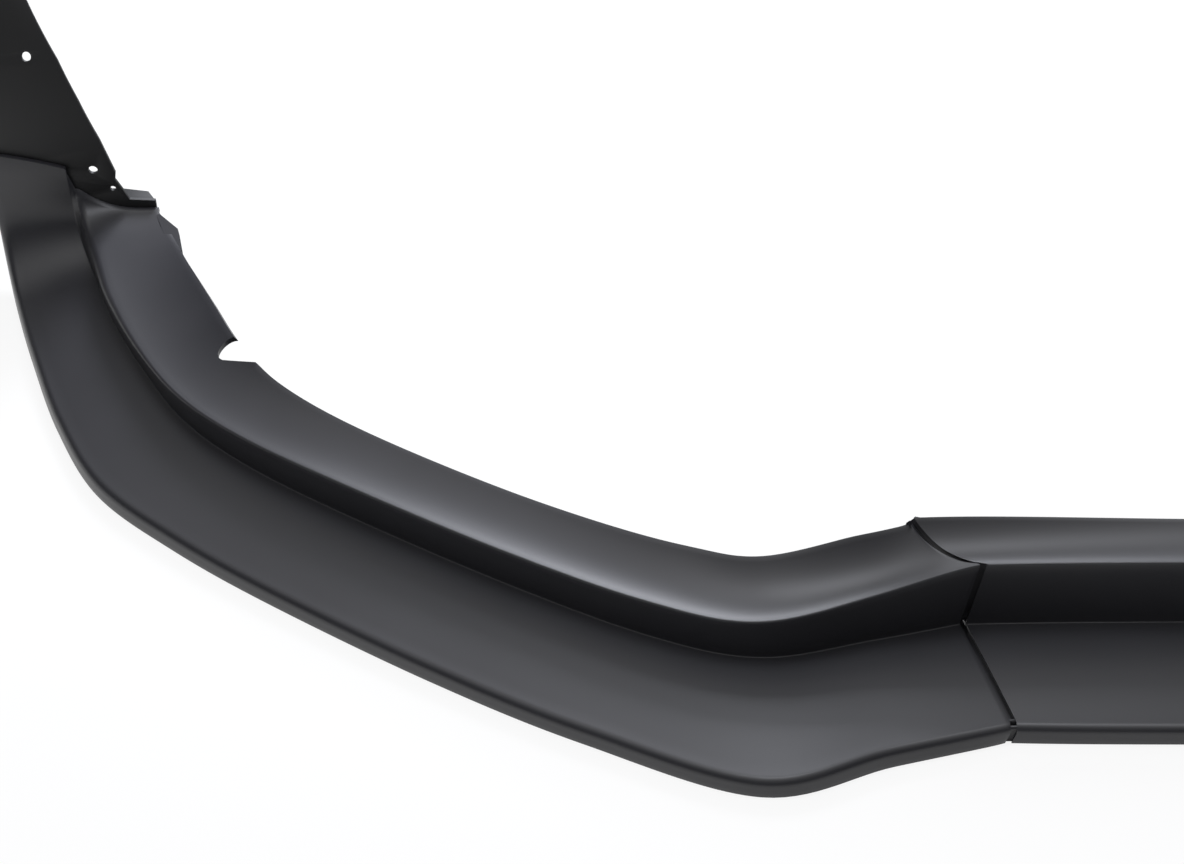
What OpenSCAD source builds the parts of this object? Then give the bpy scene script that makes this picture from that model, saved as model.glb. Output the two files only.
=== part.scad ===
// Front splitter lip: three moulded sections, two wheel-arch plates and their fixings.
// The front points along -Y, X runs across the car, Z is up and the lip rests on its lower rim.

/* [Moulded wall] */
// Thickness of the moulded wall
wall_t = 3; // [2.4:0.1:3.6]
// Gap between a side section and the centre section
seam_gap = 2.8; // [1.6:0.2:3.2]
// Thickness of the tongue that backs a seam
tongue_t = 2; // [1.6:0.1:2]
// Clearance between the tongue and the side section
tongue_gap = 0.4; // [0.2:0.1:0.6]

/* [Blade] */
// Height of the downturned front edge
edge_h = 12; // [10:0.5:14]
// Radius of the fold between the blade and the front edge
edge_r = 5.5; // [4.5:0.5:6.5]
// Height of the blade where it meets the riser
foot_z = 21; // [18:0.5:24]
// Crown of the blade between the fold and the riser
blade_crown = 0.8; // [0:0.1:1.6]
// Width of the blade at the centre section
centre_blade_w = 78; // [70:1:86]

/* [Riser and scoop] */
// Height of the riser's top edge at the centre section
centre_lip_z = 69; // [62:1:74]
// Radius of the rounded lip on top of the riser
lip_r = 4; // [3.6:0.1:5]
// How far the lip stands out over the riser's foot
lip_overhang = 3; // [1:0.5:4]
// Depth of the scoop behind the lip at the centre section
centre_scoop_d = 25; // [20:1:32]
// Rise of the scoop's top edge above the lip at the centre section
centre_scoop_rise = 7.5; // [5:0.5:14]
// How far the centre section's scoop stands above the side section's at the seam
seam_step = 3; // [0:0.5:4]

/* [Kick-up at the wheel arch] */
// Radius of the kick-up in front of the wheel
kick_r = 40; // [36:1:46]
// Upright stretch of the kick-up above its radius
kick_upright = 24; // [16:1:30]
// Distance out from the middle of the car to the front edge where the kick-up starts
arch_edge_out = 866; // [850:2:880]

/* [Mounting flange] */
// Width of the flange behind the riser
flange_w = 42; // [38:1:48]
// Diameter of the mounting holes in the flange
flange_hole_d = 6.6; // [5:0.1:8]
// Distance between the mounting holes of the centre section
flange_hole_pitch = 110; // [90:5:120]
// Number of mounting holes in the centre section
flange_hole_n = 4; // [2:1:4]

/* [Joint plates] */
// Length of a joint plate across a seam
joint_plate_l = 84; // [76:2:96]
// Width of a joint plate
joint_plate_w = 26; // [22:1:30]
// Thickness of a joint plate
joint_plate_t = 3; // [2:0.5:4]
// Distance from the seam to the inner pair of screws
joint_near = 13; // [11:0.5:15]
// Distance from the seam to the outer pair of screws
joint_far = 33; // [27:1:36]
// Thread diameter of the joint screws
screw_d = 5; // [4:0.5:6]

/* [Arch plate] */
// Thickness of the arch plate
plate_t = 2.4; // [2:0.1:3]
// Height of the plate's lower edge
plate_bottom_z = 34; // [32:1:40]
// Height at which the plate starts to lean back
plate_bend_z = 95; // [92:1:102]
// Radius of the lean
plate_bend_r = 160; // [140:5:180]
// Lean of the plate's upper stretch from the vertical
plate_lean = 35; // [30:1:38]
// Length of the plate's upper stretch above the bend
plate_top_l = 44; // [30:2:50]
// Diameter of the two larger holes
plate_hole_d = 5.8; // [5:0.1:7]
// Diameter of the small hole at the inner corner
plate_small_hole_d = 3.6; // [3:0.1:4.4]
// Depth of the tab folded back from the plate's inner foot
plate_tab_d = 11; // [8:1:14]
// Thread diameter of the screws that hold the arch plate
arch_screw_d = 4; // [3:0.5:4]

/* [Hidden] */

// How far back from the middle of the front edge the kick-up starts
kick_from = 400;
kick_back = kick_from + kick_r;
// Width of the blade where the kick-up starts and where it ends
kick_w = 54;
kick_end_w = 50;
// How far the front edge runs out along the kick-up
kick_edge_out = 0.32 * kick_r;

// Side section, one row for each station from the seam to the wheel arch, all as distances out and back:
// riser foot out and back, front edge out and back, lip height, scoop depth, scoop rise, flange width
stations = [
    [251, 76.5, 217, 1, centre_lip_z, centre_scoop_d, centre_scoop_rise + 1.5, flange_w],
    [300, 63, 284, -20, 57, 31, 18, flange_w],
    [364, 48.5, 358, -46, 51, 37, 15, flange_w],
    [430, 67, 464, -2, 51, 37, 12, flange_w],
    [523, 115, 560, 51, 50, 36, 8, flange_w],
    [626, 177, 665, 119, 49, 36, 7, flange_w],
    [690, 221, 731, 168, 47, 38.7, 10, flange_w],
    [733, 261, 784, 217, 45, 45.3, 13, flange_w],
    [766, 309, 819, 278, 43, 50.6, 12, flange_w - 4],
    [795, 361, 846, 344, 42, 53.5, 8, flange_w - 10],
    [arch_edge_out - kick_w, kick_from + 2, arch_edge_out, kick_from - 6, 42, 53.3, 3, flange_w - 16],
    [arch_edge_out + kick_edge_out - kick_end_w, kick_back, arch_edge_out + kick_edge_out, kick_back,
        42, 54.4, 1, flange_w - 16]
];
station_n = len(stations);
kick_start = station_n - 2;
// Steps between one station and the next
station_steps = [4, 5, 5, 4, 4, 3, 3, 3, 3, 2];
kick_angles = [0, 18, 36, 54, 72, 90];
// Last station that carries the mounting flange
flange_end = 9;
// How far the seam runs in at the lip, and out at the scoop's edge and at the lower rim
seam_lip_in = 13;
seam_edge_out = 18;
seam_rim_out = 5.5;
// Share of the kick-up's height that each stretch of the section takes
kick_rim = 1;
kick_blade = 1.23;
kick_foot = 0.87;
kick_lip = 0.29;
kick_edge = 0.04;
// How far the scoop's rear rim runs on behind the kick-up, up to the arch plate
kick_tail = 2.6;
// Radius of the fillet at the riser's foot
foot_r = 2;
// How far the front edge leans back from its rim
edge_lean = 0.4;
// Where the flange's upper face leaves the riser's wall, and the share of its width at which the holes sit
flange_root = 2.2 * wall_t;
flange_hole_share = 0.55;
// How far a hole's cutter stands out on each side of the wall
hole_spare = 2;
// Colours of the moulding, the arch plates and the fixings
moulding_colour = [0.16, 0.16, 0.17];
plate_colour = [0.11, 0.11, 0.12];
fixing_colour = [0.3, 0.3, 0.32];
// Running clearance between a thread and what it turns in
thread_clear = 0.1;
// Extra diameter of a screw's hole
hole_clear = 0.6;
washer_t = 1;
nut_h = 4;
eps = 0.01;

function mix(a, b, t) = a + (b - a) * t;
function spline(a, b, c, d, t) =
    0.5 * (2 * b + (c - a) * t + (2 * a - 5 * b + 4 * c - d) * t * t + (3 * b - a - 3 * c + d) * t * t * t);
function at_station(s) =
    let (i = min(floor(s), station_n - 2), t = s - i)
    spline(stations[max(i - 1, 0)], stations[i], stations[i + 1], stations[min(i + 2, station_n - 1)], t);

// Section of the moulding from the front rim to the scoop's edge: distance behind the foot, height,
// share of the kick-up, and the seam's shift
function section(w, lip_z, depth, rise) =
    concat(
        [[-w, 0, kick_rim, seam_rim_out]],
        [for (a = [0 : 30 : 90])
            [-w + edge_r * (1 - cos(a)) + edge_lean, edge_h - edge_r * (1 - sin(a)), mix(kick_rim, kick_blade, a / 90),
                seam_rim_out * 0.4 * (1 - a / 90)]],
        [for (v = [0.35, 0.7])
            [mix(-w + edge_r, 0, v), mix(edge_h, foot_z, v) + blade_crown * sin(180 * v),
                mix(kick_blade, kick_foot, v), 0]],
        [[-foot_r, foot_z, kick_foot, 0], [-0.3 * foot_r, foot_z + 0.3 * foot_r, kick_foot, 0],
            [0, foot_z + foot_r, kick_foot, 0]],
        [[-lip_overhang * 0.4, mix(foot_z, lip_z, 0.5), mix(kick_foot, kick_lip, 0.5), -seam_lip_in / 2]],
        [for (a = [0 : 30 : 90])
            [-lip_overhang + lip_r * (1 - cos(a)), lip_z - lip_r * (1 - sin(a)), kick_lip, -seam_lip_in]],
        [for (j = [1 : 6])
            let (v = j / 6)
            [mix(lip_r - lip_overhang, depth, v), lip_z + rise * pow(v, 2.2), mix(kick_edge, kick_lip, pow(1 - v, 2.6)),
                -seam_lip_in + (seam_lip_in + seam_edge_out) * sqrt(v)]]
    );
point_n = 21;
// First point of the scoop behind the lip
scoop_from = 14;
// Points of the section between which the mounting flange grows
root_low = 7;
root_mid = 8;
root_high = 9;

// Lift of a point by the kick-up: the blade turns up along a quarter circle, the lip and scoop flare up softly
function kick_lift(share, turn, top) =
    let (
        round = kick_r * (1 - sqrt(max(0, 1 - turn * turn))) + kick_upright * top,
        flare = (kick_r + kick_upright) * pow((turn * kick_r + kick_tail * top) / (kick_r + kick_tail), 3)
    )
    share * mix(round, flare, kick_softness(share));
function kick_softness(share) = max(0, min(1, (kick_foot - share) / (kick_foot - kick_lip)));

// Upper skin of the side section at station s, as distances out, back and up; top is 1 at the kick-up's upper rim
function side_row(s, top = 0) =
    let (
        v = at_station(s),
        foot = [v[0], v[1]],
        edge = [v[2], v[3]],
        w = norm(foot - edge),
        back = (foot - edge) / w,
        fade = s < 1 ? pow(1 - s, 2) : 0,
        turn = s <= kick_start ? 0 : s - kick_start
    )
    [for (p = section(w, v[4], v[5], v[6]))
        [foot.x + back.x * p[0] + fade * p[3],
            foot.y + back.y * p[0] + top * kick_tail * kick_softness(p[2]),
            p[1] + kick_lift(p[2], turn, top)]];

side_rows = concat(
    [for (i = [0 : kick_start - 1]) for (j = [0 : station_steps[i] - 1]) i + j / station_steps[i]],
    [for (a = kick_angles) kick_start + sin(a)]
);
side_skin = concat([for (s = side_rows) side_row(s)], [side_row(station_n - 1, 1)]);
side_flange_rows = len([for (s = side_rows) if (s <= flange_end) s]);

// Middle of the centre section, straight across the car
centre_mid = [for (p = section(centre_blade_w, centre_lip_z, centre_scoop_d, centre_scoop_rise))
    [0, centre_blade_w + p[0], p[1]]];
centre_steps = [-1, -0.94, -0.82, -0.6, -0.2, 0.2, 0.6, 0.82, 0.94, 1];
// The seam opens up where it runs almost along the lip
seam_open = 0.7;
function seam_gap_at(i) = seam_gap * (1 + seam_open * max(0, 1 - abs(i - scoop_from - 0.5) / 2));
function centre_row(k) =
    [for (i = [0 : point_n - 1])
        let (
            a = side_skin[0][i],
            b = centre_mid[i],
            step = seam_step * pow(max(0, i - scoop_from) / (point_n - 1 - scoop_from), 2),
            f = pow(abs(k), 6)
        )
        [k * (a.x - seam_gap_at(i)), mix(b.y, a.y, f), mix(b.z, a.z + step, k * k)]];
centre_skin = [for (k = centre_steps) centre_row(k)];

// Each point of a skin moved inwards along the surface's own normal, by one depth for each row
function skin_normal(skin, k, i) =
    let (
        row = skin[k],
        along = skin[min(k + 1, len(skin) - 1)][i] - skin[max(k - 1, 0)][i],
        across = row[min(i + 1, len(row) - 1)] - row[max(i - 1, 0)],
        n = cross(along, across)
    )
    n / norm(n);
function offset_skin(skin, depths) =
    [for (k = [0 : len(skin) - 1])
        [for (i = [0 : len(skin[k]) - 1])
            let (p = skin[k][i] - depths[k] * skin_normal(skin, k, i))
            [p.x, min(p.y, kick_back + wall_t), i == 0 ? skin[k][i].z : p.z]]];

// Inner skins, each worked out with the next section's first row so that the walls stay apart at the seam
function inner_skin(skin, first, last) =
    let (rows = offset_skin(skin, [for (row = skin) wall_t])) [for (k = [first : last]) rows[k]];
side_inner = inner_skin(concat([centre_row(1)], side_skin), 1, len(side_skin));
centre_inner = inner_skin(
    concat([[for (p = side_skin[0]) [-p.x, p.y, p.z]]], centre_skin, [side_skin[0]]), 1, len(centre_skin));

// Tongue of the centre section that runs on under the side section, from its root in the centre's wall
tongue_root = 0.955;
tongue_bend = 0.98;
tongue_end = 0.15;
tongue_skin = [centre_row(tongue_root), centre_row(tongue_bend), centre_row(1), side_skin[0], side_row(tongue_end)];
// How far below the wall's back each row of the tongue starts
tongue_steps = [-2, -0.6, tongue_gap, tongue_gap, tongue_gap];
// Extra clearance where the scoop's tongue turns under the lip
scoop_tongue_spare = 0.9;
blade_tongue = [for (row = tongue_skin) [for (i = [0 : 7]) row[i]]];
scoop_tongue = [for (row = tongue_skin)
    concat([mix(row[9], row[10], 0.35)], [for (i = [10, 11, 14, 15, 16, 17, 18, 19]) row[i]])];
module tongue(skin, spare) {
    depths = [for (k = [0 : 4]) wall_t + tongue_steps[k] + (k > 1 ? spare : 0)];
    panel(offset_skin(skin, depths), offset_skin(skin, [for (d = depths) d + tongue_t]));
}

// Closed sheet between two grids of points
module panel(outer, inner) {
    rows = len(outer);
    n = len(outer[0]);
    points = [for (k = [0 : rows - 1]) each concat(outer[k], inner[k])];
    function o(k, i) = 2 * k * n + i;
    function b(k, i) = (2 * k + 1) * n + i;
    function quad(p, q, r, s) = [[r, q, p], [s, r, p]];
    faces = concat(
        [for (k = [0 : rows - 2]) for (i = [0 : n - 2])
            each concat(quad(o(k, i), o(k + 1, i), o(k + 1, i + 1), o(k, i + 1)),
                quad(b(k, i), b(k, i + 1), b(k + 1, i + 1), b(k + 1, i)))],
        [for (k = [0 : rows - 2])
            each concat(quad(o(k, 0), b(k, 0), b(k + 1, 0), o(k + 1, 0)),
                quad(o(k, n - 1), o(k + 1, n - 1), b(k + 1, n - 1), b(k, n - 1)))],
        [for (i = [0 : n - 2])
            each concat(quad(o(0, i), o(0, i + 1), b(0, i + 1), b(0, i)),
                quad(o(rows - 1, i), b(rows - 1, i), b(rows - 1, i + 1), o(rows - 1, i + 1)))]
    );
    polyhedron(points = points, faces = faces, convexity = 6);
}

// Flange points behind the foot: upper root, upper tip and lower tip
function flange_row(row, w) =
    let (
        d = [row[root_high].x - row[2].x, row[root_high].y - row[2].y],
        back = d / norm(d),
        foot = [row[root_high].x, row[root_high].y]
    )
    [for (f = [[flange_root, 0], [w, 0], [w, -wall_t]])
        [foot.x + back.x * f[0], foot.y + back.y * f[0], foot_z + f[1]]];

// Closed shell between an outer and an inner skin, with a flange along its first rows
module shell(outer, inner, flange) {
    rows = len(outer);
    flange_rows = len(flange);
    per_row = 2 * point_n + 3;
    points = [for (k = [0 : rows - 1])
        each concat(outer[k], inner[k], k < flange_rows ? flange[k] : [for (j = [0 : 2]) inner[k][root_mid]])];
    function o(k, i) = k * per_row + i;
    function n(k, i) = k * per_row + point_n + i;
    function f(k, j) = k * per_row + 2 * point_n + j;
    function quad(a, b, c, d) = [[a, b, c], [a, c, d]];
    function bare(k, i) = k >= flange_rows - 1 || i < root_low || i >= root_high;
    function flange_end_face(k) = [
        [n(k, root_mid), n(k, root_high), f(k, 0)], [n(k, root_mid), f(k, 0), f(k, 1)],
        [n(k, root_mid), f(k, 1), f(k, 2)], [n(k, root_mid), f(k, 2), n(k, root_low)]
    ];
    function reversed(faces) = [for (t = faces) [t[2], t[1], t[0]]];
    function cap(k) = [for (i = [0 : point_n - 2]) each quad(o(k, i), o(k, i + 1), n(k, i + 1), n(k, i))];
    outer_faces = [for (k = [0 : rows - 2]) for (i = [0 : point_n - 2])
        each quad(o(k, i), o(k + 1, i), o(k + 1, i + 1), o(k, i + 1))];
    inner_faces = [for (k = [0 : rows - 2]) for (i = [0 : point_n - 2]) if (bare(k, i))
        each quad(n(k, i), n(k, i + 1), n(k + 1, i + 1), n(k + 1, i))];
    edge_faces = [for (k = [0 : rows - 2])
        each concat(
            quad(o(k, 0), n(k, 0), n(k + 1, 0), o(k + 1, 0)),
            quad(o(k, point_n - 1), o(k + 1, point_n - 1), n(k + 1, point_n - 1), n(k, point_n - 1))
        )];
    flange_faces = [for (k = [0 : flange_rows - 2])
        each concat(
            quad(n(k, root_low), f(k, 2), f(k + 1, 2), n(k + 1, root_low)),
            quad(f(k, 2), f(k, 1), f(k + 1, 1), f(k + 1, 2)),
            quad(f(k, 1), f(k, 0), f(k + 1, 0), f(k + 1, 1)),
            quad(f(k, 0), n(k, root_high), n(k + 1, root_high), f(k + 1, 0))
        )];
    faces = concat(
        outer_faces, inner_faces, edge_faces, flange_faces,
        cap(0), flange_end_face(0), reversed(cap(rows - 1)), reversed(flange_end_face(flange_rows - 1))
    );
    polyhedron(points = points, faces = reversed(faces), convexity = 8);
}

// Hole straight down through the flange
module flange_hole(x, y, d) {
    translate([x, y, foot_z - wall_t - hole_spare]) cylinder(d = d, h = wall_t + 2 * hole_spare, $fn = 48);
}

front_y = min([for (row = side_skin) for (p = row) p.y]);
// Back face of the kick-up, where the arch plate lies
plate_y = kick_back + wall_t;
plate_bend_end_z = plate_bend_z + plate_bend_r * sin(plate_lean);
plate_top_z = plate_bend_end_z + plate_top_l * cos(plate_lean);
plate_back_y = plate_face_y(plate_top_z) + plate_t / cos(plate_lean);
middle_y = (front_y + plate_back_y) / 2;
module placed() {
    translate([0, -middle_y, 0]) children();
}

// Middle of the flange behind the foot at station s
function flange_middle(s) =
    let (row = side_row(s), d = [row[root_high].x - row[2].x, row[root_high].y - row[2].y], v = at_station(s))
    [row[root_high].x, row[root_high].y] + d / norm(d) * v[7] * flange_hole_share;

// Frame of the joint plate: centred on the seam, along the flange
joint_turn = -7;
module at_joint() {
    p = flange_middle(0);
    translate([p.x - seam_gap / 2, p.y, 0]) rotate(joint_turn) children();
}
joint_places = [-joint_far, -joint_near, joint_near, joint_far];
module joint_holes() {
    at_joint()
        for (x = joint_places)
            flange_hole(x, 0, screw_d + hole_clear);
}

// Half-round notch in the scoop's edge, open towards the middle of the car
notch_place = [700.8, 286.5];
notch_r = 10.6;
notch_low = 33;
notch_h = 60;
module notch() {
    translate([notch_place.x, notch_place.y, notch_low]) {
        cylinder(r = notch_r, h = notch_h, $fn = 64);
        translate([-3 * notch_r, -notch_r, 0]) cube([3 * notch_r, 2 * notch_r, notch_h]);
    }
}

// Stepped tab on the scoop's edge in front of the arch plate: distance in from the front edge and back from
// the kick-up's start
rear_tab_top = 44.2;
rear_tab_outline = [for (p = [[91.5, 38.5], [107, 21], [109, 15], [113, 0], [106, -2], [84, 38.5]])
    [arch_edge_out - p[0], kick_from + p[1]]];
module rear_tab() {
    translate([0, 0, rear_tab_top - wall_t]) linear_extrude(wall_t) polygon(rear_tab_outline);
}

// Places of the screws that hold the arch plate: distance out and height
arch_screw_places = [[arch_edge_out - 24, 73], [arch_edge_out + 2, 77]];
arch_screw_grip = 2.2;
module at_arch_screws() {
    for (p = arch_screw_places)
        translate([p[0], plate_y + plate_t, p[1]]) rotate([90, 0, 0]) children();
}

side_mount_stations = [2.5, 4.3, 6.1];
module side_section() {
    difference() {
        union() {
            shell(side_skin, side_inner,
                [for (k = [0 : side_flange_rows - 1]) flange_row(side_skin[k], at_station(side_rows[k])[7])]);
            rear_tab();
        }
        joint_holes();
        for (s = side_mount_stations)
            let (p = flange_middle(s)) flange_hole(p.x, p.y, flange_hole_d);
        notch();
        at_arch_screws() cylinder(d = arch_screw_d, h = plate_t + arch_screw_grip, $fn = 48);
    }
}

module centre_section() {
    color(moulding_colour) placed()
        difference() {
            union() {
                shell(centre_skin, centre_inner,
                    [for (k = [0 : len(centre_skin) - 1]) flange_row(centre_skin[k], flange_w)]);
                for (side = [0, 1]) mirror([side, 0, 0]) {
                    tongue(blade_tongue, 0);
                    tongue(scoop_tongue, scoop_tongue_spare);
                }
            }
            for (i = [0 : flange_hole_n - 1])
                flange_hole((i - (flange_hole_n - 1) / 2) * flange_hole_pitch,
                    centre_blade_w + flange_w / 2, flange_hole_d);
            joint_holes();
            mirror([1, 0, 0]) joint_holes();
        }
}

module left_section() {
    color(moulding_colour) placed() mirror([1, 0, 0]) side_section();
}

module right_section() {
    color(moulding_colour) placed() side_section();
}

// Outer edge of the arch plate, and its width at the foot
plate_out = arch_edge_out + 12;
plate_foot_w = 102;
// Front outline of the arch plate: distance in from its outer edge and height, from the foot round to the outer edge
plate_foot_z = 50.5;
plate_outline = [for (p = [
    [plate_foot_w, plate_bottom_z], [plate_foot_w, plate_foot_z], [85.5, plate_foot_z + 1], [82, 60], [78.5, 67.5],
    [79.5, 73], [73, 99], [63, 128], [52.5, 154], [35, 187], [18, plate_top_z - 6], [14, plate_top_z],
    [4, plate_top_z], [0, plate_top_z - 6], [0, plate_bottom_z]
]) [plate_out - p[0], p[1]]];
plate_sheet_from = plate_out - plate_foot_w - 6;
plate_sheet_l = plate_foot_w + 16;
module arch_plate_sheet() {
    translate([plate_sheet_from, plate_y, plate_bottom_z])
        cube([plate_sheet_l, plate_t, plate_bend_z - plate_bottom_z]);
    translate([plate_sheet_from + plate_sheet_l, plate_y + plate_bend_r, plate_bend_z]) rotate([90, 0, -90])
        rotate_extrude(angle = plate_lean, $fn = 128)
            translate([plate_bend_r - plate_t, 0]) square([plate_t, plate_sheet_l]);
    translate([plate_sheet_from, plate_face_y(plate_bend_end_z), plate_bend_end_z]) rotate([-plate_lean, 0, 0])
        cube([plate_sheet_l, plate_t, plate_top_l + 5]);
}

// Point on the plate's front face at height z, and the lean there
function plate_lean_at(z) = z <= plate_bend_z ? 0 : min(plate_lean, asin(min(1, (z - plate_bend_z) / plate_bend_r)));
function plate_face_y(z) =
    let (a = plate_lean_at(z))
    plate_y + plate_bend_r * (1 - cos(a)) + max(0, z - plate_bend_end_z) * tan(plate_lean);
module plate_hole(x, z, d) {
    translate([x, plate_face_y(z), z]) rotate([90 - plate_lean_at(z), 0, 0]) translate([0, 0, -plate_t - hole_spare])
        cylinder(d = d, h = plate_t + 2 * hole_spare, $fn = 48);
}
plate_holes = [[plate_out - 33, 156, plate_hole_d], [plate_out - 65.5, 75.5, plate_hole_d],
    [plate_out - 76.2, 60.5, plate_small_hole_d]];

// Tab folded back from the top of the plate's inner foot
plate_tab_in = plate_out - plate_foot_w;
plate_tab_outline = [[plate_tab_in, 0], [plate_tab_in + 4.5, plate_tab_d - 2], [plate_tab_in + 19, plate_tab_d],
    [plate_tab_in + 19, 0]];
module arch_plate() {
    difference() {
        union() {
            intersection() {
                arch_plate_sheet();
                translate([0, plate_y + 2 * plate_bend_r, 0]) rotate([90, 0, 0])
                    linear_extrude(3 * plate_bend_r) polygon(plate_outline);
            }
            translate([0, plate_y, plate_foot_z - plate_t]) linear_extrude(plate_t) polygon(plate_tab_outline);
        }
        for (h = plate_holes)
            plate_hole(h[0], h[1], h[2]);
        at_arch_screws() translate([0, 0, -eps])
            cylinder(d = arch_screw_d + hole_clear, h = plate_t + 2 * eps, $fn = 48);
    }
}

module left_arch_plate() {
    color(plate_colour) placed() mirror([1, 0, 0]) arch_plate();
}

module right_arch_plate() {
    color(plate_colour) placed() arch_plate();
}

// Flat plate under the flanges that ties a side section to the centre section
joint_corner_r = 5;
module joint_plate() {
    at_joint() translate([0, 0, foot_z - wall_t - joint_plate_t])
        difference() {
            union() {
                for (c = [[joint_plate_l, joint_plate_w - 2 * joint_corner_r],
                        [joint_plate_l - 2 * joint_corner_r, joint_plate_w]])
                    translate([-c[0] / 2, -c[1] / 2, 0]) cube([c[0], c[1], joint_plate_t]);
                for (x = [-1, 1]) for (y = [-1, 1])
                    translate([x * (joint_plate_l / 2 - joint_corner_r), y * (joint_plate_w / 2 - joint_corner_r), 0])
                        cylinder(r = joint_corner_r, h = joint_plate_t, $fn = 48);
            }
            for (x = joint_places)
                translate([x, 0, -eps]) cylinder(d = screw_d + hole_clear, h = joint_plate_t + 2 * eps, $fn = 48);
        }
}

module left_joint_plate() {
    color(fixing_colour) placed() mirror([1, 0, 0]) joint_plate();
}

module right_joint_plate() {
    color(fixing_colour) placed() joint_plate();
}

module on_both_sides() {
    placed() {
        children();
        mirror([1, 0, 0]) children();
    }
}

// Button-head screw standing on its head's underside, with a hexagon socket
module button_screw(d, l) {
    head_d = 1.9 * d;
    head_h = 0.55 * d;
    difference() {
        union() {
            translate([0, 0, -head_h / 2]) cylinder(d = head_d, h = head_h / 2, $fn = 48);
            translate([0, 0, -head_h]) cylinder(d1 = 0.7 * head_d, d2 = head_d, h = head_h / 2, $fn = 48);
            cylinder(d = d, h = l, $fn = 48);
        }
        translate([0, 0, -head_h - eps]) cylinder(d = 0.65 * d, h = 0.6 * head_h, $fn = 6);
    }
}

// Stack of a joint screw, from the plate's underside up
joint_screw_l = joint_plate_t + wall_t + washer_t + nut_h + 1.5;
module joint_screws() {
    color(fixing_colour) on_both_sides() at_joint()
        for (x = joint_places)
            translate([x, 0, foot_z - wall_t - joint_plate_t]) button_screw(screw_d, joint_screw_l);
}

module joint_washers() {
    color(fixing_colour) on_both_sides() at_joint()
        for (x = joint_places)
            translate([x, 0, foot_z]) difference() {
                cylinder(d = 2 * screw_d, h = washer_t, $fn = 48);
                translate([0, 0, -eps]) cylinder(d = screw_d + hole_clear / 2, h = washer_t + 2 * eps, $fn = 48);
            }
}

module joint_nuts() {
    color(fixing_colour) on_both_sides() at_joint()
        for (x = joint_places)
            translate([x, 0, foot_z + washer_t]) difference() {
                cylinder(d = 1.6 * screw_d / cos(30), h = nut_h, $fn = 6);
                translate([0, 0, -eps]) cylinder(d = screw_d + thread_clear, h = nut_h + 2 * eps, $fn = 48);
            }
}

module arch_screws() {
    color(fixing_colour) on_both_sides() at_arch_screws()
        button_screw(arch_screw_d, plate_t + arch_screw_grip - thread_clear);
}

centre_section();
left_section();
right_section();
left_arch_plate();
right_arch_plate();
left_joint_plate();
right_joint_plate();
joint_screws();
joint_washers();
joint_nuts();
arch_screws();
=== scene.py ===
import math

import bmesh
import bpy
from mathutils import Matrix, Vector


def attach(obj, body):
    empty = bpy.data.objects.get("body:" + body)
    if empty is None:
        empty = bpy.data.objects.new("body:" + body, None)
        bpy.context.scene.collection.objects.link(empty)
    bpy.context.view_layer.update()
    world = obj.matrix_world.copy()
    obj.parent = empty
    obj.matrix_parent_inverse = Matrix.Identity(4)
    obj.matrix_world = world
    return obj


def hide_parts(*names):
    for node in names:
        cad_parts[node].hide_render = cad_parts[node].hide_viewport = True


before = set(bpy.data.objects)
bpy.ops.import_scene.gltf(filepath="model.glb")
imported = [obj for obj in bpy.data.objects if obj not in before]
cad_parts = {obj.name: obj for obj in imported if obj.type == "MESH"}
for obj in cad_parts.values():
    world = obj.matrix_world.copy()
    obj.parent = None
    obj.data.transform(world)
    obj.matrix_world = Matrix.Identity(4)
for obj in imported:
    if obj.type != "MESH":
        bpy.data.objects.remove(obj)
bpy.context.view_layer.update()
mm = 0.001
print("frame loaded:", len(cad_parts), "nodes")


def mix(a, b, t):
    return a + (b - a) * t


def hexColour(text):  # sRGB hex to linear, the one place where colours are turned
    parts = [int(text[i:i + 2], 16) / 255 for i in (1, 3, 5)]
    return [c / 12.92 if c <= 0.04045 else ((c + 0.055) / 1.055) ** 2.4 for c in parts] + [1.0]


# Camera: on the middle of the car, looking down and to the left along the lip
cameraSetup = {
    "place": (0.0, -2.7082, 2.3477),  # metres
    "yaw": 10.007,  # degrees to the left
    "pitch": 40.0,  # degrees down
    "roll": -6.868,
    "lens": 182.43,  # mm
    "sensor": 36,  # mm wide
    "near": 0.05,  # metres
    "far": 60,
}


def addCamera(setup):
    yaw, pitch, roll = (math.radians(setup[k]) for k in ("yaw", "pitch", "roll"))
    ahead = Vector((-math.sin(yaw) * math.cos(pitch), math.cos(yaw) * math.cos(pitch), -math.sin(pitch)))
    level = Vector((math.cos(yaw), math.sin(yaw), 0))
    upright = level.cross(ahead)
    right = math.cos(roll) * level + math.sin(roll) * upright
    up = -math.sin(roll) * level + math.cos(roll) * upright
    data = bpy.data.cameras.new("camera")
    data.sensor_fit = "HORIZONTAL"
    data.sensor_width = setup["sensor"]
    data.lens = setup["lens"]
    data.clip_start = setup["near"]
    data.clip_end = setup["far"]
    camera = bpy.data.objects.new("camera", data)
    turn = Matrix((right, up, -ahead)).transposed().to_4x4()
    camera.matrix_world = Matrix.Translation(setup["place"]) @ turn
    bpy.context.scene.collection.objects.link(camera)
    bpy.context.scene.camera = camera


addCamera(cameraSetup)


def addNode(tree, kind, links=None, **settings):  # settings are the node's own or its sockets' values
    node = tree.nodes.new(kind)
    for key, value in settings.items():
        if hasattr(node, key):
            setattr(node, key, value)
        else:
            node.inputs[key.replace("_", " ")].default_value = value
    for key, source in (links or {}).items():
        tree.links.new(source, node.inputs[key])
    return node


def newMaterial(name):
    material = bpy.data.materials.new(name)
    material.use_nodes = True
    material.node_tree.nodes.clear()
    return material, material.node_tree


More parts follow.
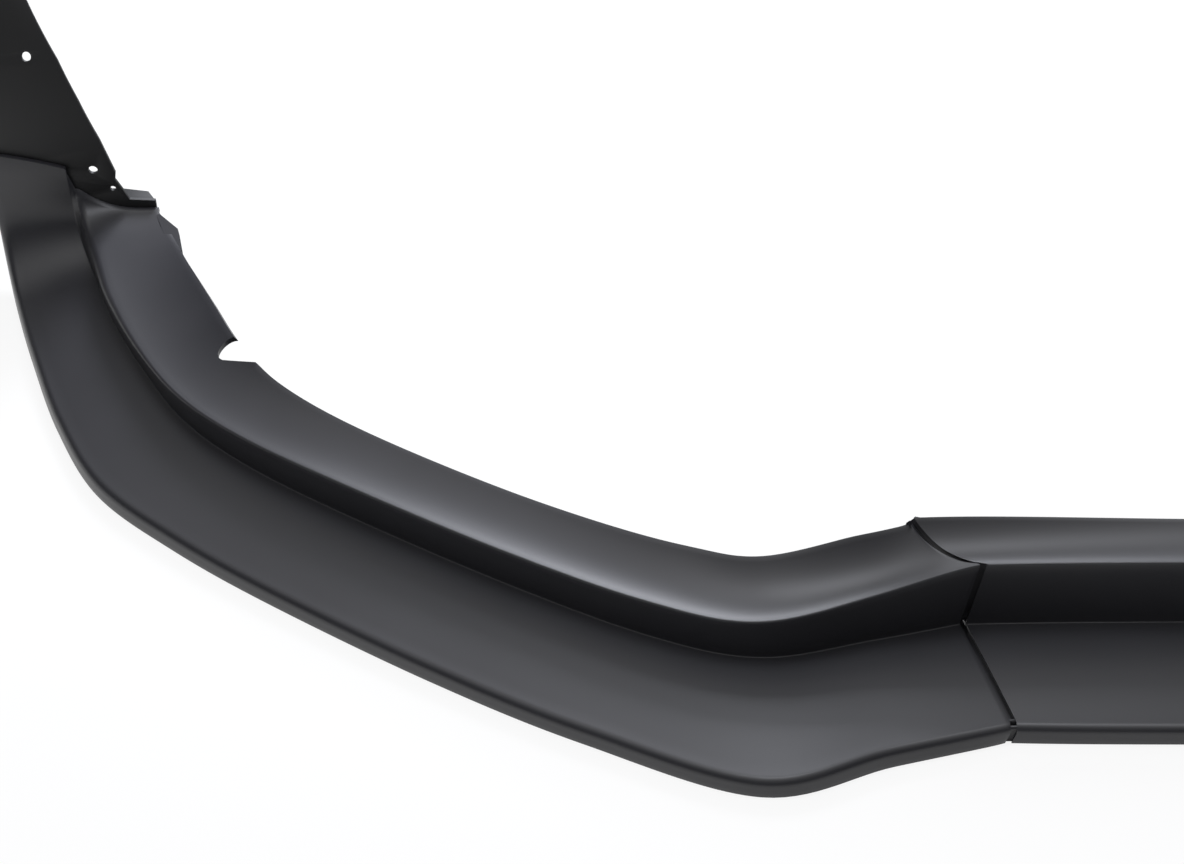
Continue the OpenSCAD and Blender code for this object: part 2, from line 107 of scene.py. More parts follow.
# Moulded in a spark-eroded tool, so it is satin black with a fine grain; grain, its depth and cloud in mm
mouldingLook = {
    "colour": "#29292d", "paler": "#2d2d31", "roughness": 0.40, "unevenness": 0.02, "ior": 1.54,
    "grain": 0.9, "grainDepth": 0.03, "grainStrength": 0.35, "cloud": 60,
}
# Extruded as a sheet and then cut; drawn darker and duller than the moulding, with a coarser grain
sheetLook = {
    "colour": "#19191a", "paler": "#1c1c1d", "roughness": 0.62, "unevenness": 0.03, "ior": 1.49,
    "grain": 1.2, "grainDepth": 0.05, "grainStrength": 0.4, "cloud": 45,
}


def plasticMaterial(name, look):  # the colour and the gloss drift a little over the cloud's size
    material, tree = newMaterial(name)
    place = addNode(tree, "ShaderNodeTexCoord").outputs["Object"]
    grainScale, cloudScale = 1 / (look["grain"] * mm), 1 / (look["cloud"] * mm)
    grain = addNode(tree, "ShaderNodeTexNoise", {"Vector": place}, Scale=grainScale, Detail=3.0)
    cloud = addNode(tree, "ShaderNodeTexNoise", {"Vector": place}, Scale=cloudScale, Detail=2.0)
    gloss = addNode(
        tree, "ShaderNodeMapRange", {"Value": cloud.outputs["Fac"]},
        To_Min=look["roughness"] - look["unevenness"], To_Max=look["roughness"] + look["unevenness"],
    )
    tint = addNode(tree, "ShaderNodeMix", {"Factor": cloud.outputs["Fac"]}, data_type="RGBA")
    tint.inputs[6].default_value = hexColour(look["colour"])
    tint.inputs[7].default_value = hexColour(look["paler"])
    bump = addNode(
        tree, "ShaderNodeBump", {"Height": grain.outputs["Fac"]}, Strength=look["grainStrength"],
        Distance=look["grainDepth"] * mm,
    )
    shader = addNode(
        tree, "ShaderNodeBsdfPrincipled",
        {
            "Base Color": tint.outputs[2], "Roughness": gloss.outputs["Result"],
            "Normal": bump.outputs["Normal"],
        },
        IOR=look["ior"],
    )
    addNode(tree, "ShaderNodeOutputMaterial", {"Surface": shader.outputs["BSDF"]})
    return material


moulding = plasticMaterial("abs_moulded_satin", mouldingLook)
sheet = plasticMaterial("polypropylene_sheet_matt", sheetLook)
# Zinc plated and passivated black, so it is dark, a little metallic and unevenly matt; speck in mm
steelLook = {"colour": "#2c2c2f", "roughness": 0.42, "unevenness": 0.08, "metallic": 0.8, "speck": 1.5}


def coatedSteel(name, look):
    material, tree = newMaterial(name)
    place = addNode(tree, "ShaderNodeTexCoord").outputs["Object"]
    speckScale = 1 / (look["speck"] * mm)
    speck = addNode(tree, "ShaderNodeTexNoise", {"Vector": place}, Scale=speckScale, Detail=2.0)
    gloss = addNode(
        tree, "ShaderNodeMapRange", {"Value": speck.outputs["Fac"]},
        To_Min=look["roughness"] - look["unevenness"], To_Max=look["roughness"] + look["unevenness"],
    )
    shader = addNode(
        tree, "ShaderNodeBsdfPrincipled", {"Roughness": gloss.outputs["Result"]},
        Base_Color=hexColour(look["colour"]), Metallic=look["metallic"],
    )
    addNode(tree, "ShaderNodeOutputMaterial", {"Surface": shader.outputs["BSDF"]})
    return material


steel = coatedSteel("steel_zinc_black", steelLook)
print("materials made")


# Shape of the three moulded sections, in mm: x out from the middle, y back from the middle's front edge
lip = {
    "wall": 3.0, "rimBevel": 0.5, "rowStep": 6.0, "middle": 227.051,
    "edgeHeight": 12.0, "edgeRadius": 5.5, "edgeLean": 0.4, "crown": 0.8,
    "footHeight": 21.0, "filletOut": 0.9, "filletIn": 0.05, "filletHeight": 0.8,
    "lipRadius": 1.1, "lipBack": 4.0, "lipSofter": 4.0, "softFrom": 5.5, "softOver": 4, "overhang": 3.0,
    "scoopBow": 2.2, "flange": 42.0, "flangeStart": 1.2,
    "centreBlade": 78.0, "centreOut": 2.2, "centreCrown": 1.0, "centreLip": 69.0, "centreScoop": 25.0,
    "centreRise": 7.2,
    "kickRadius": 40.0, "kickUpright": 24.0, "kickTail": 2.6,
    "seamGap": 3.6, "seamOpen": 0.55, "seamOpenOver": 5, "seamStep": 3.0, "seamIn": 13.0, "seamOut": 18.0,
    "seamRim": 5.5, "seamRimMiddle": 0.7, "seamRimTop": 0.4, "tongue": 2.0,
}
# Each station: the riser's foot out and back, the front edge out and back, the lip's height,
# the scoop's depth and rise, the flange's width and the lip's overhang
stations = [
    (251, 76.5, 217, -1, lip["centreLip"], lip["centreScoop"], lip["centreRise"] + 3.5, 42, 3),
    (300, 63, 284, -20.5, 57, 31, 18, 42, 3),
    (364, 48.5, 358, -45.6, 51, 37, 15, 42, 3),
    (430, 67, 464, -2, 51, 37, 12, 42, 3),
    (523, 115, 560, 51, 50, 36, 8, 42, 3),
    (626, 177, 665, 119, 49, 36, 7, 42, 3),
    (690, 221, 731, 168, 47, 38.7, 10, 42, 3),
    (733, 261, 784, 217, 45, 45.3, 13, 42, 3),
    (766, 309, 819, 278, 43, 50.6, 12, 38, 3),
    (795, 361, 846, 344, 42, 53.5, 8, 32, 1.5),
    (812, 402, 864, 394, 42, 53.3, 3, 26, 0),
    (828.8, 440, 878.8, 440, 42, 54.4, 1, 26, -3),
]
kickStart = len(stations) - 2
flangeEnd = 9
plateFront = stations[-1][1] + lip["wall"]  # where the kick-up ends and the arch plate stands
# How much of the kick-up's rise each part of the section takes, from the front rim to the scoop's edge
kickShare = {
    "rim": 1.0, "blade": 1.22, "foot": 0.9, "fillet": 0.83, "lipFront": 0.39, "lipBack": 0.26, "edge": 0.04,
}


def atStation(s):  # a smooth curve through the stations, s counts them
    i = min(int(s), len(stations) - 2)
    t = s - i
    a, b, c, d = (stations[max(0, min(j, len(stations) - 1))] for j in range(i - 1, i + 3))
    return [
        0.5 * (2 * q + (r - p) * t + (2 * p - 5 * q + 4 * r - u) * t * t + (3 * q - p - 3 * r + u) * t ** 3)
        for p, q, r, u in zip(a, b, c, d)
    ]


def bend(a, corner, b, steps):  # a rounded corner between two straight stretches
    return [
        tuple(mix(mix(p, c, t / steps), mix(c, q, t / steps), t / steps) for p, c, q in zip(a, corner, b))
        for t in range(steps + 1)
    ]


# Numbers of three of the section's points
edgePoint = 5  # on the front edge
footPoint = 26  # where the riser starts
lipEnd = 41  # the last one on the lip


# Each point of the section: distance behind the foot, height, share of the kick-up, shift at the seam
def section(w, lipHeight, depth, rise, over, lr):
    share = kickShare
    r, z, rim = lip["edgeRadius"], lip["footHeight"], lip["seamRim"]
    points = [
        (-w, 0, share["rim"], rim),
        (-w + lip["edgeLean"] / 2, (lip["edgeHeight"] - r) / 2, share["rim"], lip["seamRimMiddle"] * rim),
    ]
    for step in range(10):
        a = math.radians(step * 10)
        points.append((
            -w + r * (1 - math.cos(a)) + lip["edgeLean"], lip["edgeHeight"] - r * (1 - math.sin(a)),
            mix(share["rim"], share["blade"], step / 9), lip["seamRimTop"] * rim * (1 - step / 9),
        ))
    for step in range(1, 10):
        v = step / 10
        points.append((
            mix(-w + r, 0, v), mix(lip["edgeHeight"], z, v) + lip["crown"] * math.sin(math.pi * v),
            mix(share["blade"], share["foot"], v), 0,
        ))
    start, corner = (-lip["filletOut"], z, share["foot"], 0), (-lip["filletIn"], z, share["foot"], 0)
    riserStart = z + lip["filletHeight"]
    points += bend(start, corner, (0, riserStart, share["fillet"], 0), 5)
    for step in range(1, 6):
        v = step / 6
        points.append((
            mix(0, -over, v), mix(riserStart, lipHeight - lr, v),
            mix(share["fillet"], share["lipFront"], v), -lip["seamIn"] * v,
        ))
    for step in range(10):
        a = math.radians(step * 10)
        points.append((
            -over + lr * (1 - math.cos(a)), lipHeight - lr * (1 - math.sin(a)),
            mix(share["lipFront"], share["lipBack"], step / 9), -lip["seamIn"],
        ))
    for step in range(1, 15):
        v = step / 14
        points.append((
            mix(lr - over, depth, v), lipHeight + rise * v ** lip["scoopBow"],
            mix(share["edge"], share["lipBack"], (1 - v) ** 3),
            -lip["seamIn"] + (lip["seamIn"] + lip["seamOut"]) * math.sqrt(v),
        ))
    return points


def kickSoftness(share):  # 0 on the blade, 1 on the lip and the scoop
    return max(0, min(1, (kickShare["foot"] - share) / (kickShare["foot"] - kickShare["lipBack"])))


def kickLift(share, turn, top):  # the blade turns up along a quarter circle, lip and scoop flare up softly
    radius, tail = lip["kickRadius"], lip["kickTail"]
    turned = radius * (1 - math.sqrt(max(0, 1 - turn * turn))) + lip["kickUpright"] * top
    flared = (radius + lip["kickUpright"]) * ((turn * radius + tail * top) / (radius + tail)) ** 3
    return share * mix(turned, flared, kickSoftness(share))


def softened(s, lr):  # the lip's radius, crisp at the nose and round on the arm
    return lr + lip["lipSofter"] * max(0, min(1, (s - lip["softFrom"]) / lip["softOver"])) ** 2


def sideRow(s, top=0.0, lr=lip["lipRadius"]):  # top is 1 at the kick-up's upper rim
    v = atStation(s)
    foot, edge = Vector(v[0:2]), Vector(v[2:4])
    w = (foot - edge).length
    back = (foot - edge) / w
    fade = (1 - s) ** 2 if s < 1 else 0
    turn = max(0, s - kickStart)
    return [
        Vector((
            foot.x + back.x * p[0] + fade * p[3],
            foot.y + back.y * p[0] + top * lip["kickTail"] * kickSoftness(p[2]),
            p[1] + kickLift(p[2], turn, top),
        ))
        for p in section(w, *v[4:7], v[8], softened(s, lr))
    ]


def sideStations():
    steps = []
    for i in range(kickStart):
        a, b = stations[i], stations[i + 1]
        n = max(2, round(max(math.dist(a[0:2], b[0:2]), math.dist(a[2:4], b[2:4])) / lip["rowStep"]))
        steps += [i + j / n for j in range(n)]
    return steps + [kickStart + math.sin(math.radians(a)) for a in range(0, 91, 9)]


sideSteps = sideStations()


def sideRows(lr):
    end = len(stations) - 1
    return [sideRow(s, 0, lr) for s in sideSteps] + [sideRow(end, top, lr) for top in (0.5, 1)]


def centreRow(k, lr=lip["lipRadius"]):  # k runs from -1 at the left seam to 1 at the right one
    row = []
    middle = section(
        lip["centreBlade"] + lip["centreOut"], lip["centreLip"], lip["centreScoop"], lip["centreRise"],
        lip["overhang"], lr,
    )
    for i, (a, b) in enumerate(zip(sideRow(0, 0, lr), middle)):
        opened = max(0, 1 - abs(i - lipEnd - 1) / lip["seamOpenOver"])
        gap = lip["seamGap"] * (1 + lip["seamOpen"] * opened)
        far = (max(0, i - lipEnd) / (len(middle) - 1 - lipEnd)) ** 2
        step = (lip["seamStep"] + lip["centreCrown"] * (1 - k ** 8)) * far
        y = mix(lip["centreBlade"] + b[0], a.y, abs(k) ** 6)
        row.append(Vector((k * (a.x - gap), y, mix(b[1], a.z + step, k * k))))
    return row


def centreRows(lr, n=60):
    return [centreRow(math.sin(math.pi / 2 * step / n), lr) for step in range(-n, n + 1)]


def sunk(rows, depths):  # each point moved back along the skin's own normal, by one depth for each row
    moved = []
    for k, row in enumerate(rows):
        line = []
        for i, p in enumerate(row):
            along = rows[min(k + 1, len(rows) - 1)][i] - rows[max(k - 1, 0)][i]
            across = row[min(i + 1, len(row) - 1)] - row[max(i - 1, 0)]
            q = p - depths[k] * along.cross(across).normalized()
            q.y = min(q.y, plateFront)
            if i == 0:
                q.z = p.z
            line.append(q)
        moved.append(line)
    return moved


def backRows(rows, before, after):  # the wall's back skin, worked out with the next section's rows
    near = before + rows + after
    return sunk(near, [lip["wall"]] * len(near))[len(before):len(before) + len(rows)]


def loft(bm, rows, closed=False):
    line = [bm.verts.new(p) for p in rows[0]]
    pairs = list(zip(line, line[1:])) + ([(line[-1], line[0])] if closed else [])
    edges = [bm.edges.new(pair) for pair in pairs]
    for row in rows[1:]:
        made = bmesh.ops.extrude_edge_only(bm, edges=edges)["geom"]
        fresh = {g for g in made if isinstance(g, bmesh.types.BMVert)}
        line = [next(e.other_vert(v) for e in v.link_edges if e.other_vert(v) in fresh) for v in line]
        for v, p in zip(line, row):
            v.co = p
        edges = [e for e in made if isinstance(e, bmesh.types.BMEdge) and fresh.issuperset(e.verts)]


def softenRims(bm, width, angle=50):
    sharp = [e for e in bm.edges if e.is_manifold and e.calc_face_angle() > math.radians(angle)]
    bmesh.ops.bevel(
        bm, geom=sharp, offset=width, offset_type="OFFSET", affect="EDGES", segments=2, profile=0.5,
        material=-1, clamp_overlap=True,
    )


def toMesh(bm, name):
    mesh = bpy.data.meshes.new(name)
    bm.to_mesh(mesh)
    bm.free()
    return mesh


def cut(mesh, cutters, name):  # takes the cutters out of the mesh
    whole = bpy.data.objects.new(name, mesh)
    tool = bpy.data.objects.new(name + "_tool", toMesh(cutters, name + "_tool"))
    for thing in (whole, tool):
        bpy.context.scene.collection.objects.link(thing)
    step = whole.modifiers.new("cut", "BOOLEAN")
    step.operation = "DIFFERENCE"
    step.solver = "EXACT"
    step.object = tool
    result = bpy.data.meshes.new_from_object(whole.evaluated_get(bpy.context.evaluated_depsgraph_get()))
    for thing in (whole, tool):
        bpy.data.objects.remove(thing)
    return result


def outlineSolid(points, thickness, flat):  # a plate with that outline, standing up or lying flat
    bm = bmesh.new()
    verts = [bm.verts.new((x, v, 0) if flat else (x, 0, v)) for x, v in points]
    bm.faces.new(verts)
    made = bmesh.ops.extrude_face_region(bm, geom=bm.faces[:])["geom"]
    move = (0, 0, thickness) if flat else (0, thickness, 0)
    bmesh.ops.translate(bm, verts=[g for g in made if isinstance(g, bmesh.types.BMVert)], vec=move)
    bmesh.ops.recalc_face_normals(bm, faces=bm.faces)
    return bm


def skinMesh(rows, back, name):
    bm = bmesh.new()
    loft(bm, rows)
    loft(bm, back)
    bmesh.ops.bridge_loops(bm, edges=[e for e in bm.edges if e.is_boundary])
    bmesh.ops.recalc_face_normals(bm, faces=bm.faces)
    softenRims(bm, lip["rimBevel"])
    return toMesh(bm, name)


def footAndBack(row):  # the riser's foot and the way back from the front edge
    foot, edge = row[footPoint], row[edgePoint]
    return foot, Vector((foot.x - edge.x, foot.y - edge.y, 0)).normalized()


def flangeMesh(rows, widths, name):
    bm = bmesh.new()
    ring = []
    start, top, under = lip["flangeStart"], lip["footHeight"], lip["footHeight"] - lip["wall"]
    for row, w in zip(rows, widths):
        foot, back = footAndBack(row)
        ring.append([
            Vector((foot.x, foot.y, 0)) + back * out + Vector((0, 0, h))
            for out, h in ((start, top), (w, top), (w, under), (start, under))
        ])
    loft(bm, ring, closed=True)
    bmesh.ops.holes_fill(bm, edges=[e for e in bm.edges if e.is_boundary], sides=4)
    bmesh.ops.recalc_face_normals(bm, faces=bm.faces)
    softenRims(bm, lip["rimBevel"])
    return toMesh(bm, name)


def addDrill(bm, place, diameter, height=20.0, segments=48, turn=Matrix.Identity(4)):
    bmesh.ops.create_cone(
        bm, cap_ends=True, segments=segments, radius1=diameter / 2, radius2=diameter / 2, depth=height,
        matrix=Matrix.Translation(place) @ turn,
    )


# Holes in the flanges, in mm and degrees; across is their place as a share of the flange's width
holes = {
    "mount": 6.6, "pitch": 110.0, "count": 4, "screw": 5.6, "sideStations": (2.5, 4.3, 6.1), "across": 0.55,
    "turn": -7.0, "plateScrews": (-33, -13, 13, 33),
}
# Cutter for the notch in the scoop's edge; reach is how far it is drawn out, in radii
notch = {
    "place": (705.5, 290.7, 63), "radius": 7.8, "turn": 24.0, "reach": 3, "slack": 0.1, "height": 60,
    "segments": 64,
}


def flangeMiddle(s):
    foot, back = footAndBack(sideRow(s))
    return Vector((foot.x, foot.y, lip["footHeight"])) + back * atStation(s)[7] * holes["across"]


def jointDrills(bm, side=1):
    turn = math.radians(holes["turn"])
    middle = flangeMiddle(0)
    for x in holes["plateScrews"]:
        out = middle.x - lip["seamGap"] / 2 + x * math.cos(turn)
        addDrill(bm, (side * out, middle.y + x * math.sin(turn), lip["footHeight"]), holes["screw"])


def joined(meshes, name):
    bm = bmesh.new()
    for mesh in meshes:
        bm.from_mesh(mesh)
    return toMesh(bm, name)


def placeMesh(mesh, side):  # from the fit in mm to the row frame in metres
    bm = bmesh.new()
    bm.from_mesh(mesh)
    bmesh.ops.translate(bm, verts=bm.verts, vec=(0, -lip["middle"], 0))
    bmesh.ops.scale(bm, verts=bm.verts, vec=(side * mm, mm, mm))
    if side < 0:
        bmesh.ops.reverse_faces(bm, faces=bm.faces)
    for face in bm.faces:
        face.smooth = True
    return toMesh(bm, mesh.name)


def finish(mesh, name, nodeNames, material, smoothAngle=35):
    mesh.materials.clear()
    mesh.materials.append(material)
    mesh.set_sharp_from_angle(angle=math.radians(smoothAngle))
    piece = bpy.data.objects.new(name, mesh)
    bpy.context.scene.collection.objects.link(piece)
    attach(piece, "root")
    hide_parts(*nodeNames)
    return piece


def notchTool(setup):  # a round cutter drawn out over the scoop's edge
    tool = bmesh.new()
    turn = math.radians(setup["turn"])
    away = Vector((-math.cos(turn), -math.sin(turn), 0))
    middle = Vector(setup["place"])
    addDrill(tool, middle, 2 * setup["radius"], setup["height"], setup["segments"])
    outer = [v for v in tool.verts if (v.co - middle).dot(away) > setup["slack"]]
    bmesh.ops.translate(tool, verts=outer, vec=away * setup["reach"] * setup["radius"])
    return tool


# Tab on the scoop's edge in front of the arch plate, in mm; its top falls by the tilt's share, out and back
rearTab = {
    "outline": ((774.5, 438.5), (759, 421), (757, 415), (753, 400), (759.8, 398), (776, 438.5)),
    "tiltFrom": (753, 400), "tilt": (0.12, -0.065), "top": 44.5,
}


def rearTabMesh(setup):
    bm = outlineSolid(setup["outline"], lip["wall"], True)
    for v in bm.verts:
        v.co.z += setup["top"] - lip["wall"] - (v.co.x - setup["tiltFrom"][0]) * setup["tilt"][0]
        v.co.z -= (v.co.y - setup["tiltFrom"][1]) * setup["tilt"][1]
    return toMesh(bm, "rear_tab")


def sideSectionMesh():
    rows = sideRows(lip["lipRadius"])
    back = backRows(sideRows(lip["lipBack"]), [centreRow(1, lip["lipBack"])], [])
    skin = cut(skinMesh(rows, back, "side_skin"), notchTool(notch), "side_skin")
    flanged = [s for s in sideSteps if s <= flangeEnd]
    flange = flangeMesh(rows[:len(flanged)], [atStation(s)[7] for s in flanged], "side_flange")
    drills = bmesh.new()
    for s in holes["sideStations"]:
        addDrill(drills, flangeMiddle(s), holes["mount"])
    jointDrills(drills)
    return joined([skin, cut(flange, drills, "side_flange"), rearTabMesh(rearTab)], "side_section")


# Tongues of the centre section that run on under the side sections and back the seams
tongues = {
    "rows": (0.955, 0.98, 1.0), "end": 0.15,
    "edge": {"points": tuple(range(12)), "steps": (-2.0, -0.6, 0.4, 0.4, 0.4), "tail": 0.0, "toe": 1.8},
    "blade": {"points": tuple(range(8, 22)), "steps": (-2.0, 1.5, 6.0, 6.0, 6.0), "tail": 16.0, "toe": 0.0},
    "scoop": {
        "points": (24, 25, 26, 27, 28, 29, 30, 31, 32, 41, 43, 45, 47, 49, 51, 53, 55),
        "steps": (-2.0, 0.4, 1.6, 1.6, 1.6), "tail": 0.0, "toe": 0.0,
    },
}


def tongueMesh(setup):  # the tail runs on under the flange, the toe comes forward at the edge's foot
    rows = [centreRow(k) for k in tongues["rows"]] + [sideRow(0), sideRow(tongues["end"])]
    rows = [[row[i] for i in setup["points"]] for row in rows]
    if setup["tail"]:
        rows = [row + [row[-1] + Vector((0, setup["tail"], 0))] for row in rows]
    depths = [lip["wall"] + d for d in setup["steps"]]
    front, back = sunk(rows, depths), sunk(rows, [d + lip["tongue"] for d in depths])
    for row, step in zip(front, setup["steps"]):
        row[0].y -= setup["toe"] if step > 0 else 0
    bm = bmesh.new()
    loft(bm, front)
    loft(bm, back)
    bmesh.ops.bridge_loops(bm, edges=[e for e in bm.edges if e.is_boundary])
    bmesh.ops.recalc_face_normals(bm, faces=bm.faces)
    return toMesh(bm, "tongue")


def mirrored(mesh):
    bm = bmesh.new()
    bm.from_mesh(mesh)
    bmesh.ops.scale(bm, verts=bm.verts, vec=(-1, 1, 1))
    bmesh.ops.reverse_faces(bm, faces=bm.faces)
    return toMesh(bm, mesh.name)


def centreSectionMesh():
    rows = centreRows(lip["lipRadius"])
    seam = sideRow(0, 0, lip["lipBack"])
    back = backRows(centreRows(lip["lipBack"]), [[Vector((-p.x, p.y, p.z)) for p in seam]], [seam])
    flange = flangeMesh(rows, [lip["flange"]] * len(rows), "centre_flange")
    drills = bmesh.new()
    for i in range(holes["count"]):
        x = (i - (holes["count"] - 1) / 2) * holes["pitch"]
        addDrill(drills, (x, lip["centreBlade"] + lip["flange"] / 2, lip["footHeight"]), holes["mount"])
    jointDrills(drills)
    jointDrills(drills, -1)
    right = [tongueMesh(tongues[part]) for part in ("edge", "blade", "scoop")]
    left = [mirrored(mesh) for mesh in right]
    skin = skinMesh(rows, back, "centre_skin")
    return joined([skin, cut(flange, drills, "centre_flange")] + right + left, "centre_section")


sideMesh = sideSectionMesh()
finish(placeMesh(sideMesh, 1), "right_section_moulding", ["right_section"], moulding)
finish(placeMesh(sideMesh, -1), "left_section_moulding", ["left_section"], moulding)
centreMesh = centreSectionMesh()
finish(placeMesh(centreMesh, 1), "centre_section_moulding", ["centre_section"], moulding)
print("moulded sections made")


# Arch plate, in mm and degrees: a sheet cut flat, then leaned back over a large radius
# Holes have their place out and up and their diameter, screws their place
plate = {
    "sheet": 2.4, "out": 878.0, "bottom": 34.0, "top": 44.0,
    "bendFrom": 95.0, "bendRadius": 160.0, "lean": 35.0,
    "holes": ((845, 156, 5.8), (812.5, 75.5, 5.8), (801.8, 60.5, 3.6)), "screws": ((842, 73), (868, 77)),
    "screwHole": 4.6, "footHeight": 50.5, "bevel": 0.35, "sharp": 40, "bendStep": 5.0,
    "tab": ((776, 0.6), (782, 9.9), (800, 13.4), (806, 13.4), (806, 0.6)),
}
plateBendEnd = plate["bendFrom"] + plate["bendRadius"] * math.sin(math.radians(plate["lean"]))
plateTop = plateBendEnd + plate["top"] * math.cos(math.radians(plate["lean"]))
plateOutline = [
    (776, plate["bottom"]), (776, plate["footHeight"]), (792.5, 51.5), (796, 60), (799.5, 67.5),
    (798.5, 73), (805, 99), (815, 128), (825.5, 154), (843, 187), (860, plateTop - 6), (864, plateTop),
    (plate["out"] - 4, plateTop), (plate["out"], plateTop - 6), (plate["out"], plate["bottom"]),
]


def bentPlace(p):  # from the flat sheet to the leaned one
    lean = 0.0
    if p.z > plate["bendFrom"]:
        sine = min(1, (p.z - plate["bendFrom"]) / plate["bendRadius"])
        lean = min(math.radians(plate["lean"]), math.asin(sine))
    face = plateFront + plate["bendRadius"] * (1 - math.cos(lean))
    face += max(0, p.z - plateBendEnd) * math.tan(math.radians(plate["lean"]))
    return Vector((p.x, face + p.y * math.cos(lean), p.z - p.y * math.sin(lean)))


def archPlateMesh():
    mesh = toMesh(outlineSolid(plateOutline, plate["sheet"], False), "arch_plate")
    drills = bmesh.new()
    upright = Matrix.Rotation(math.pi / 2, 4, "X")
    for x, z, d in plate["holes"] + tuple((x, z, plate["screwHole"]) for x, z in plate["screws"]):
        addDrill(drills, (x, 0, z), d, turn=upright)
    bm = bmesh.new()
    bm.from_mesh(cut(mesh, drills, "arch_plate"))
    softenRims(bm, plate["bevel"], plate["sharp"])
    z = plate["bendFrom"]
    while z < plateBendEnd + plate["bendStep"]:
        whole = bm.verts[:] + bm.edges[:] + bm.faces[:]
        bmesh.ops.bisect_plane(bm, geom=whole, plane_co=(0, 0, z), plane_no=(0, 0, 1))
        z += plate["bendStep"]
    for v in bm.verts:
        v.co = bentPlace(v.co)
    tab = outlineSolid(plate["tab"], plate["sheet"], True)
    softenRims(tab, plate["bevel"], plate["sharp"])
    bmesh.ops.translate(tab, verts=tab.verts, vec=(0, plateFront, plate["footHeight"] - plate["sheet"]))
    return joined([toMesh(bm, "arch_plate"), toMesh(tab, "arch_plate_tab")], "arch_plate")


plateMesh = archPlateMesh()
finish(placeMesh(plateMesh, 1), "right_arch_plate_sheet", ["right_arch_plate"], sheet)
finish(placeMesh(plateMesh, -1), "left_arch_plate_sheet", ["left_arch_plate"], sheet)
print("arch plates made")


# Fixings: the CAD shapes with merged facets and softened edges; weld and edges in mm, angles in degrees
fixings = {
    "weld": 0.01, "flat": 1, "sharp": 40, "smooth": 30,
    "edges": {
        "left_joint_plate": 0.4, "right_joint_plate": 0.4, "joint_screws": 0.2, "joint_washers": 0.15,
        "joint_nuts": 0.2, "arch_screws": 0.15,
    },
}


def softenedCopy(nodeName, width):
    bm = bmesh.new()
    bm.from_mesh(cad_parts[nodeName].data)
    bmesh.ops.remove_doubles(bm, verts=bm.verts, dist=fixings["weld"] * mm)
    bmesh.ops.dissolve_limit(bm, angle_limit=math.radians(fixings["flat"]), verts=bm.verts, edges=bm.edges)
    softenRims(bm, width * mm, fixings["sharp"])
    for face in bm.faces:
        face.smooth = True
    return toMesh(bm, nodeName + "_coated")


for nodeName, width in fixings["edges"].items():
    mesh = softenedCopy(nodeName, width)
    finish(mesh, nodeName + "_coated", [nodeName], steel, fixings["smooth"])
print("fixings made")


# Studio: a pale floor, a soft sky that is bright overhead, and lamps behind the lip and above it
studio = {
    "floorSize": 40.0, "floorDrop": 0.0004, "floorGlow": 0.86, "paper": "#f4f4f4",  # sizes in metres
    "skyTint": "#ffffff",
    "skyLights": [  # azimuth, elevation, sharpness, strength
        (-60, 72, 8, 0.9), (180, 75, 4, 0.6), (0, 85, 4, 0.35),
    ],
    "lampAim": (-0.45, -0.17, 0.03), "lampSize": 0.4, "lampTint": "#f3f6ff",
    "lamps": [  # name, place in metres, power in watts
        ("rear_lamp", (-0.5, 0.98, 0.64), 16.5), ("rear_high_lamp", (-0.48, 0.8, 0.9), 3.0),
        ("top_lamp", (-0.4, -0.09, 1.23), 3.4),
    ],
}


def addFloor(setup):
    bm = bmesh.new()
    bmesh.ops.create_grid(bm, x_segments=1, y_segments=1, size=setup["floorSize"] / 2)
    bmesh.ops.translate(bm, verts=bm.verts, vec=(0, 0, -setup["floorDrop"]))
    floor = bpy.data.objects.new("floor", toMesh(bm, "floor"))
    bpy.context.scene.collection.objects.link(floor)
    material, tree = newMaterial("paper_white_backdrop")
    path = addNode(tree, "ShaderNodeLightPath")
    seen = addNode(tree, "ShaderNodeMath", {0: path.outputs["Is Camera Ray"]}, operation="MULTIPLY")
    seen.inputs[1].default_value = setup["floorGlow"]
    glossed = addNode(
        tree, "ShaderNodeMath", {0: seen.outputs[0], 1: path.outputs["Is Glossy Ray"]}, operation="MAXIMUM",
    )
    passed = addNode(
        tree, "ShaderNodeMath", {0: glossed.outputs[0], 1: path.outputs["Is Transmission Ray"]},
        operation="MAXIMUM",
    )
    paper = addNode(tree, "ShaderNodeBsdfDiffuse", Color=hexColour(setup["paper"]))
    white = addNode(tree, "ShaderNodeEmission", Color=hexColour("#ffffff"), Strength=1.0)
    blend = addNode(
        tree, "ShaderNodeMixShader", {0: passed.outputs[0], 1: paper.outputs[0], 2: white.outputs[0]},
    )
    addNode(tree, "ShaderNodeOutputMaterial", {"Surface": blend.outputs[0]})
    floor.data.materials.append(material)


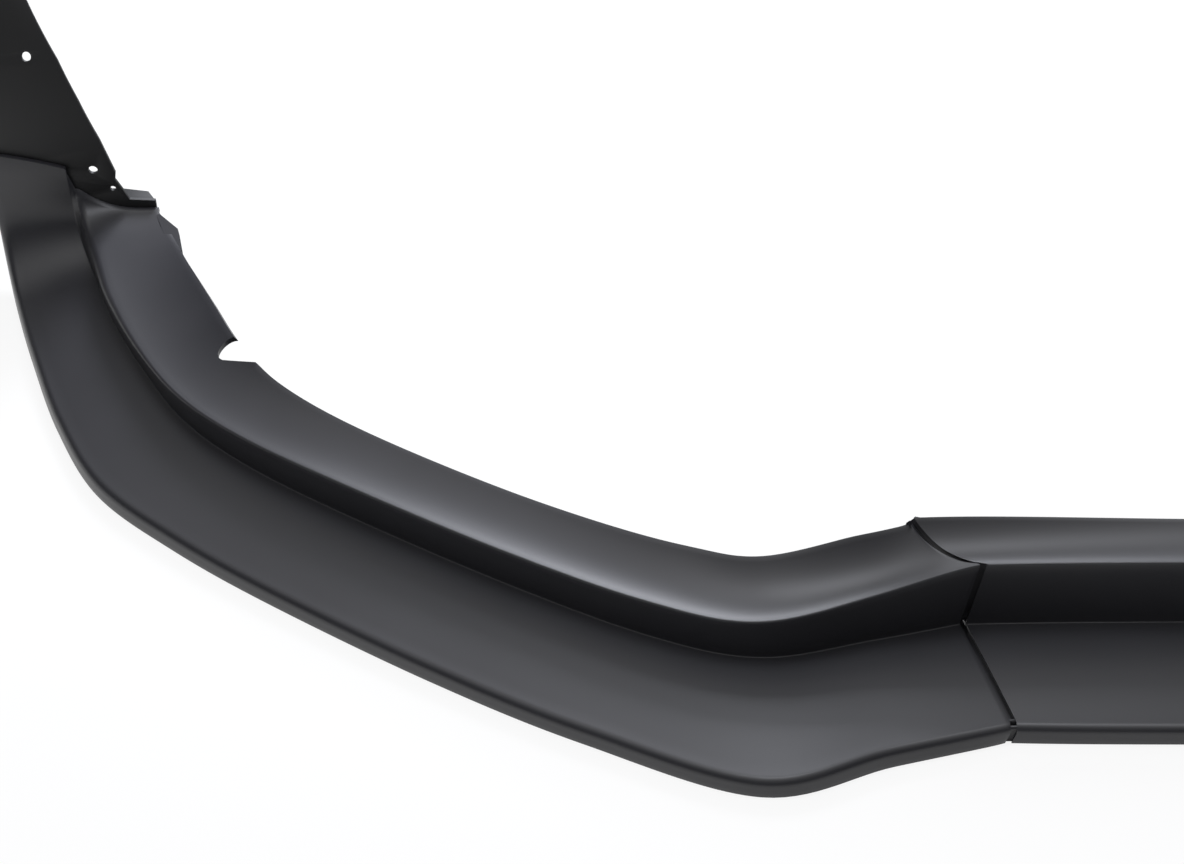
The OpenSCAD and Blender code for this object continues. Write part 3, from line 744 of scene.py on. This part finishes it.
def wayTo(azimuth, elevation):  # from the middle, azimuth 0 towards the back, growing to the right
    a, e = math.radians(azimuth), math.radians(elevation)
    return math.sin(a) * math.cos(e), math.cos(a) * math.cos(e), math.sin(e)


def addSky(setup):
    world = bpy.data.worlds.new("studio_sky")
    bpy.context.scene.world = world
    world.use_nodes = True
    tree = world.node_tree
    tree.nodes.clear()
    facing = addNode(tree, "ShaderNodeTexCoord").outputs["Generated"]
    glow = None
    for azimuth, elevation, sharpness, strength in setup["skyLights"]:
        along = addNode(tree, "ShaderNodeVectorMath", {0: facing}, operation="DOT_PRODUCT")
        along.inputs[1].default_value = wayTo(azimuth, elevation)
        ahead = addNode(tree, "ShaderNodeMath", {0: along.outputs["Value"]}, operation="MAXIMUM")
        ahead.inputs[1].default_value = 0.0
        lobe = addNode(tree, "ShaderNodeMath", {0: ahead.outputs[0]}, operation="POWER")
        lobe.inputs[1].default_value = sharpness
        added = addNode(tree, "ShaderNodeMath", {0: lobe.outputs[0]}, operation="MULTIPLY_ADD")
        added.inputs[1].default_value = strength
        added.inputs[2].default_value = 0.0
        if glow:
            tree.links.new(glow, added.inputs[2])
        glow = added.outputs[0]
    path = addNode(tree, "ShaderNodeLightPath")
    seen = addNode(tree, "ShaderNodeMix", {0: path.outputs["Is Camera Ray"], 2: glow})
    seen.inputs[3].default_value = 1.0
    background = addNode(
        tree, "ShaderNodeBackground", {"Strength": seen.outputs[0]}, Color=hexColour(setup["skyTint"]),
    )
    addNode(tree, "ShaderNodeOutputWorld", {"Surface": background.outputs[0]})


def addLamps(setup):
    for name, place, watts in setup["lamps"]:
        lamp = bpy.data.lights.new(name, "AREA")
        lamp.shape = "SQUARE"
        lamp.size = setup["lampSize"]
        lamp.energy = watts
        lamp.color = hexColour(setup["lampTint"])[:3]
        holder = bpy.data.objects.new(name, lamp)
        holder.location = place
        aim = Vector(setup["lampAim"]) - Vector(place)
        holder.rotation_euler = aim.to_track_quat("-Z", "Y").to_euler()
        holder.visible_camera = False
        bpy.context.scene.collection.objects.link(holder)


addFloor(studio)
addSky(studio)
addLamps(studio)
bpy.context.scene.view_settings.view_transform = "Standard"
print("studio set")
